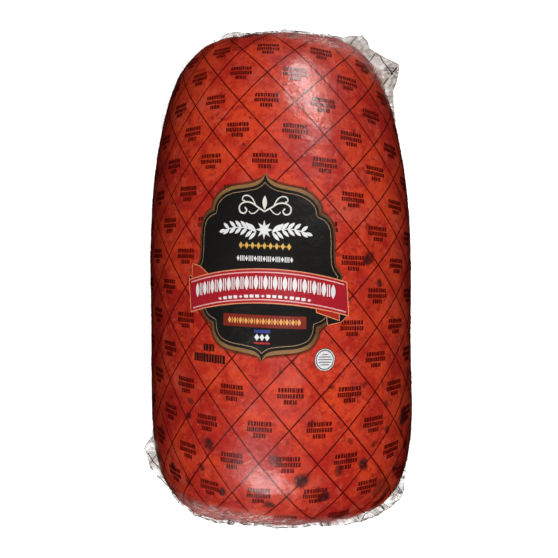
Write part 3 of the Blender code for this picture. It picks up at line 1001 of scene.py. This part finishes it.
def print_flat(name, material, layer, shapes=(), fills=(), strokes=()):
    """Prints one ink on the bag, from clockwise outlines in millimetres: small shapes that are one face
    each, large ones to fill, and strokes, each a line, its width, and whether it is closed."""
    parts = [(outline, [range(len(outline))[::-1]]) for outline in shapes]
    parts += [filled(outline) for outline in fills] + [stroked(*stroke) for stroke in strokes]
    points, faces = [], []
    for part_points, part_faces in parts:
        faces += [tuple(len(points) + i for i in face) for face in part_faces]
        points += [(x * MM, y * MM, 0.0) for x, y in part_points]
    mesh = bpy.data.meshes.new(name)
    mesh.from_pydata(points, [], faces)
    print_piece(name, mesh, material, layer)


# The border dies out into the net's ground, and turns brown down the plaque's two sides.
for k, (wider, cover) in enumerate(((1.6, 0.30), (1.1, 0.35), (0.6, 0.45))):
    shade_ink = ink("shade_ink_" + str(k + 1), (0.150, 0.040, 0.016), cover)
    shade = plaque(BORDER + wider)
    print_flat("plaque_shade_" + str(k + 1), shade_ink, 0.4 + 0.3 * k, fills=[shade])
tan_ink = ink("tan_ink", (0.300, 0.165, 0.060))
shader = tan_ink.node_tree.nodes["Principled BSDF"]
plain = Value(shader.inputs["Base Color"].links[0].from_socket)
px, _, _ = NodeSheet(tan_ink.node_tree).place().split()
at_side = abs(px - PLAQUE_MIDDLE).eased(*PLAQUE_SIDES)
plug(mixed(at_side * 0.75, plain, BORDER_BROWN), shader.inputs["Base Color"])
black_ink = ink("plaque_black_ink", (0.0085, 0.0085, 0.0080))
line_ink = ink("pale_tan_ink", (0.480, 0.300, 0.170))

print_flat("plaque_border", tan_ink, 1.2, fills=[plaque(BORDER)])
print_flat("plaque_ground", black_ink, 2, fills=[plaque()])
print_flat("plaque_fine_line", line_ink, 3, strokes=[(plaque(-FINE_LINE_INSET), FINE_LINE, True)])

# --- Ornaments on the plaque ----------------------------------------------------------------------
# Plain ornaments printed on the black: a cream scroll, a bold white laurel spray about a star, a row
# of gold lozenges, a row of white bars and lozenges, and at the bottom three short coloured stripes.
SCROLL = [
    ([
        (0, 33.0), (4, 35.2), (8, 37.4), (12, 37.6), (15, 35.6),
        (14.6, 32.6), (12, 31.8), (10.6, 33.4), (11.8, 35),
    ], 0.80),
    ([(5.4, 36.2), (7.4, 39.6), (10.4, 41.2), (13, 40.4), (13.2, 38.6), (11.8, 38.4)], 0.65),
    ([(3, 34.6), (5.6, 32.2), (8, 31.8), (9.2, 33)], 0.55),
]
SPRAY_MIDDLE, SPRAY_STEM = 23.6, [(4.6, 22.4), (10, 24.2), (17, 24.4), (24.2, 22.8)]
LEAF_STEP, LEAF_LENGTH, LEAF_WIDTH, LEAF_TURN = 4.4, 6.0, 1.9, 44
ROWS_MIDDLE, GOLD_ROW, WHITE_ROW = 0.4, 15.4, 8.8
GOLD_APART, WHITE_APART, BARS_APART = 3.5, 5.2, 1.05


def lens(x, y, length, width, turn=0.0):
    """A leaf pointed at both ends, clockwise: its length lies along x, turned by these degrees."""
    upper = [(a * length / 2, width / 2 * (1 - a * a)) for a in np.linspace(-1, 1, 9)]
    outline = upper + [(a, -b) for a, b in upper[-2:0:-1]]
    c, s = cos(radians(turn)), sin(radians(turn))
    return [(x + a * c - b * s, y + a * s + b * c) for a, b in outline]


def block(x, y, width, height):
    """An upright block, clockwise."""
    w, h = width / 2, height / 2
    return [(x - w, y - h), (x - w, y + h), (x + w, y + h), (x + w, y - h)]


def lozenge(x, y, width, height):
    """A lozenge that stands on its point, clockwise."""
    return [(x - width / 2, y), (x, y + height / 2), (x + width / 2, y), (x, y - height / 2)]


def star(x, y, radius, waist, rays):
    """A star, clockwise."""
    corners = [(pi * k / rays, radius if k % 2 == 0 else waist) for k in range(2 * rays)]
    return [(x + r * sin(a), y + r * cos(a)) for a, r in corners]


def mirrored(line, side):
    """The line as it is for side 1, and mirrored to the left for side -1."""
    return [(side * x, y) for x, y in line]


cream_ink = ink("cream_ink", (0.88, 0.85, 0.78))
white_ink = ink("white_ink", (0.94, 0.93, 0.92))
gold_ink = ink("gold_ink", (0.82, 0.48, 0.10))

scroll = [(mirrored(smooth(corners), side), width) for side in (-1, 1) for corners, width in SCROLL]
print_flat("cream_scroll", cream_ink, 3, shapes=[lens(0, 37.6, 7.4, 2.6, 90)], strokes=scroll)

stem = smooth(SPRAY_STEM, LEAF_STEP)
leaves = [star(0, SPRAY_MIDDLE, 5.0, 2.3, 8)]
for side in (-1, 1):
    for k, (x, y) in enumerate(stem[:-1]):
        for lift in (-1, 1):
            turn, length = (LEAF_TURN - 1.5 * k) * lift, LEAF_LENGTH - 0.22 * k
            middle = (x + length / 2 * cos(radians(turn)), y + length / 2 * sin(radians(turn)))
            leaves.append(mirrored(lens(*middle, length, LEAF_WIDTH, turn), side)[::side])
    leaves.append(mirrored(lens(stem[-1][0] + 1.4, stem[-1][1] - 0.4, 4.4, LEAF_WIDTH, -14), side)[::side])
stems = [(mirrored(stem, side), 0.6) for side in (-1, 1)]
print_flat("white_spray", white_ink, 3, shapes=leaves, strokes=stems)

golds = [lozenge(ROWS_MIDDLE + GOLD_APART * k, GOLD_ROW, 2.5, 3.6) for k in range(-4, 5)]
golds += [lozenge(ROWS_MIDDLE + GOLD_APART * (k + 0.5), GOLD_ROW, 0.8, 1.1) for k in range(-4, 4)]
print_flat("gold_lozenges", gold_ink, 3, shapes=golds)

whites = [lozenge(ROWS_MIDDLE + WHITE_APART * k, WHITE_ROW, 1.7, 2.9) for k in range(-3, 4)]
whites += [
    block(ROWS_MIDDLE + WHITE_APART * (k + 0.5) + BARS_APART * bar, WHITE_ROW, 0.6, 2.7)
    for k in range(-3, 3) for bar in (-1, 0, 1)
]
print_flat("white_bars", white_ink, 3, shapes=whites)

blue_ink = ink("blue_stripe_ink", (0.045, 0.060, 0.30))
red_ink = ink("red_stripe_ink", (0.52, 0.030, 0.040))
print_flat("blue_stripe", blue_ink, 3, fills=[block(0, -27.6, 9.4, 1.5)])
lozenges = [lozenge(x, -30.6, 3.0, 3.6) for x in (-3, 0, 3)]
print_flat("white_lozenges", white_ink, 3, shapes=lozenges)
print_flat("red_stripe", red_ink, 3, fills=[block(0, -33.5, 9.4, 0.9)])

# --- Band and bar ---------------------------------------------------------------------------------
# A crimson ribbon printed across the plaque, arched and with a folded end out behind it on each
# side, edged in orange and pale pink and with a frieze in white. Under it lies a short orange bar.
BAND_HALF, BAND_HIGH = 49.3, 17.1
BAND_TOP, BAND_TILT, BAND_ARCH = 3.7, 0.0201, 0.002565
BAND_END_SLANT = 1.6
FRIEZE_REACH, FRIEZE_UNIT, FRIEZE_HIGH = 43.0, 5.55, 7.4
DASH_REACH, DASH_APART = 26.4, 3.3
BAR, BAR_UNIT = (0.5, -22.6, 49.0, 6.2), 3.4
FOLDS = [
    [(-47.8, -2.8), (-47.2, 5.0), (-41.0, 3.8), (-34.0, -0.6)],
    [(30.0, -12.0), (30.6, -17.2), (44.4, -21.2), (44.0, -15.6)],
]
TIPS = [
    [(-50.4, -4.4), (-49.6, -1.2), (-47.2, -1.8), (-47.2, -5.2)],
    [(36.6, -18.8), (37.2, -23.6), (45.4, -22.0), (50.0, -18.2), (44.0, -16.0)],
]


def on_band(x, up):
    """A point of the band: x in millimetres and up from 0 at its lower edge to 1 at its upper."""
    return x, BAND_TOP + BAND_TILT * x - BAND_ARCH * x * x - BAND_HIGH * (1 - up)


def along_band(up):
    """A line along the band from its left end to its right, at this height of it."""
    return [on_band(x + BAND_END_SLANT * (0.5 - up), up) for x in np.linspace(-BAND_HALF, BAND_HALF, 56)]


crimson_ink = ink("crimson_ink", (0.455, 0.013, 0.024))
deep_red_ink = ink("deep_red_ink", (0.460, 0.026, 0.014))
pink_ink = ink("pale_pink_ink", (0.92, 0.47, 0.46))
edge_ink = ink("pale_orange_ink", (0.88, 0.34, 0.17))
bar_ink = ink("bar_ink", (0.250, 0.024, 0.014))
yellow_ink = ink("yellow_ink", (0.92, 0.44, 0.12))

band = along_band(1) + along_band(0)[::-1]
print_flat("band_tips", black_ink, 3, fills=TIPS)
print_flat("band_tip_edges", edge_ink, 3.4, strokes=[(tip, 0.35, True) for tip in TIPS])
print_flat("band_folds", deep_red_ink, 3.7, fills=FOLDS)
print_flat("band_fold_edges", edge_ink, 4.1, strokes=[(fold, 0.45, True) for fold in FOLDS])
print_flat("band", crimson_ink, 4.5, fills=[band])
print_flat("band_outer_edges", edge_ink, 5, strokes=[(band, 0.55, True)])
inner_edges = [(along_band(up)[1:-1], 0.62) for up in (0.095, 0.905)]
print_flat("band_inner_edges", pink_ink, 5, strokes=inner_edges)

frieze = []
for x in np.arange(-FRIEZE_REACH, FRIEZE_REACH + 0.1, FRIEZE_UNIT):
    frieze.append(lens(*on_band(x, 0.60), FRIEZE_HIGH, 2.7, 90))
    if x + FRIEZE_UNIT < FRIEZE_REACH + 0.1:
        between, middle = on_band(x + FRIEZE_UNIT / 2, 0.60)
        frieze += [block(between + off, middle, 0.62, FRIEZE_HIGH - 1.2) for off in (-0.62, 0.62)]
for x in np.arange(-DASH_REACH, DASH_REACH + 0.1, DASH_APART):
    dash = block if round(x / DASH_APART) % 4 else lozenge
    frieze.append(dash(*on_band(x, 0.20), 2.3, 1.5))
print_flat("band_frieze", white_ink, 5, shapes=frieze)

print_flat("orange_bar", bar_ink, 3, fills=[block(*BAR)])
lozenges = [lozenge(BAR[0] + BAR_UNIT * k, BAR[1], 2.2, 3.4) for k in range(-6, 7)]
lozenges += [block(BAR[0] + BAR_UNIT * (k + 0.5), BAR[1], 0.55, 2.6) for k in range(-6, 6)]
print_flat("bar_lozenges", yellow_ink, 4, shapes=lozenges)

# --- Stamp and bold mark --------------------------------------------------------------------------
# Low on the front: at the right a round white stamp with a thin ring and a few grey lines in it, and
# at the left two rows of bold dark blocks. Each stands in place of the marks of its diamond.
STAMP_MIDDLE, STAMP_RADII = (36.4, -41.0), (6.0, 5.7)
STAMP_LINES = [(-2.5, 5.0), (-1.2, 7.4), (0.1, 8.2), (1.4, 7.2), (2.6, 3.2)]  # height and width
BOLD_MIDDLE, BOLD_INK, BOLD_LEAST = (-34.4, -40.8), 0.78, 0.75
BOLD_ROWS = [(3.0, 8.4, 4, 3.6), (-2.4, 23.4, 12, 4.3)]  # y, width, blocks, their height


def stamp_oval(share):
    """The stamp's outline at this share of its size, clockwise."""
    turns = np.linspace(0, 2 * pi, 40, endpoint=False)
    (x, y), (wide, high) = STAMP_MIDDLE, STAMP_RADII
    return [(x + share * wide * sin(a), y + share * high * cos(a)) for a in turns]


print_flat("stamp_disc", ink("stamp_white_ink", (0.92, 0.89, 0.90)), 1, fills=[stamp_oval(1)])
rings = [(stamp_oval(1), 0.42, True), (stamp_oval(0.84), 0.50, True)]
for row, width in STAMP_LINES:
    y = STAMP_MIDDLE[1] + row
    rings.append(([(STAMP_MIDDLE[0] - width / 2, y), (STAMP_MIDDLE[0] + width / 2, y)], 0.42))
print_flat("stamp_ring", ink("grey_ink", (0.075, 0.050, 0.050)), 2, strokes=rings)

draw = np.random.default_rng(11)
bold = [
    block(BOLD_MIDDLE[0] + x, BOLD_MIDDLE[1] + y, share * BOLD_INK, height)
    for y, width, count, height in BOLD_ROWS for x, share in uneven_row(draw, count, width, BOLD_LEAST)
]
print_flat("bold_mark", ink("black_ink", (0.020, 0.005, 0.004)), 1, shapes=bold)
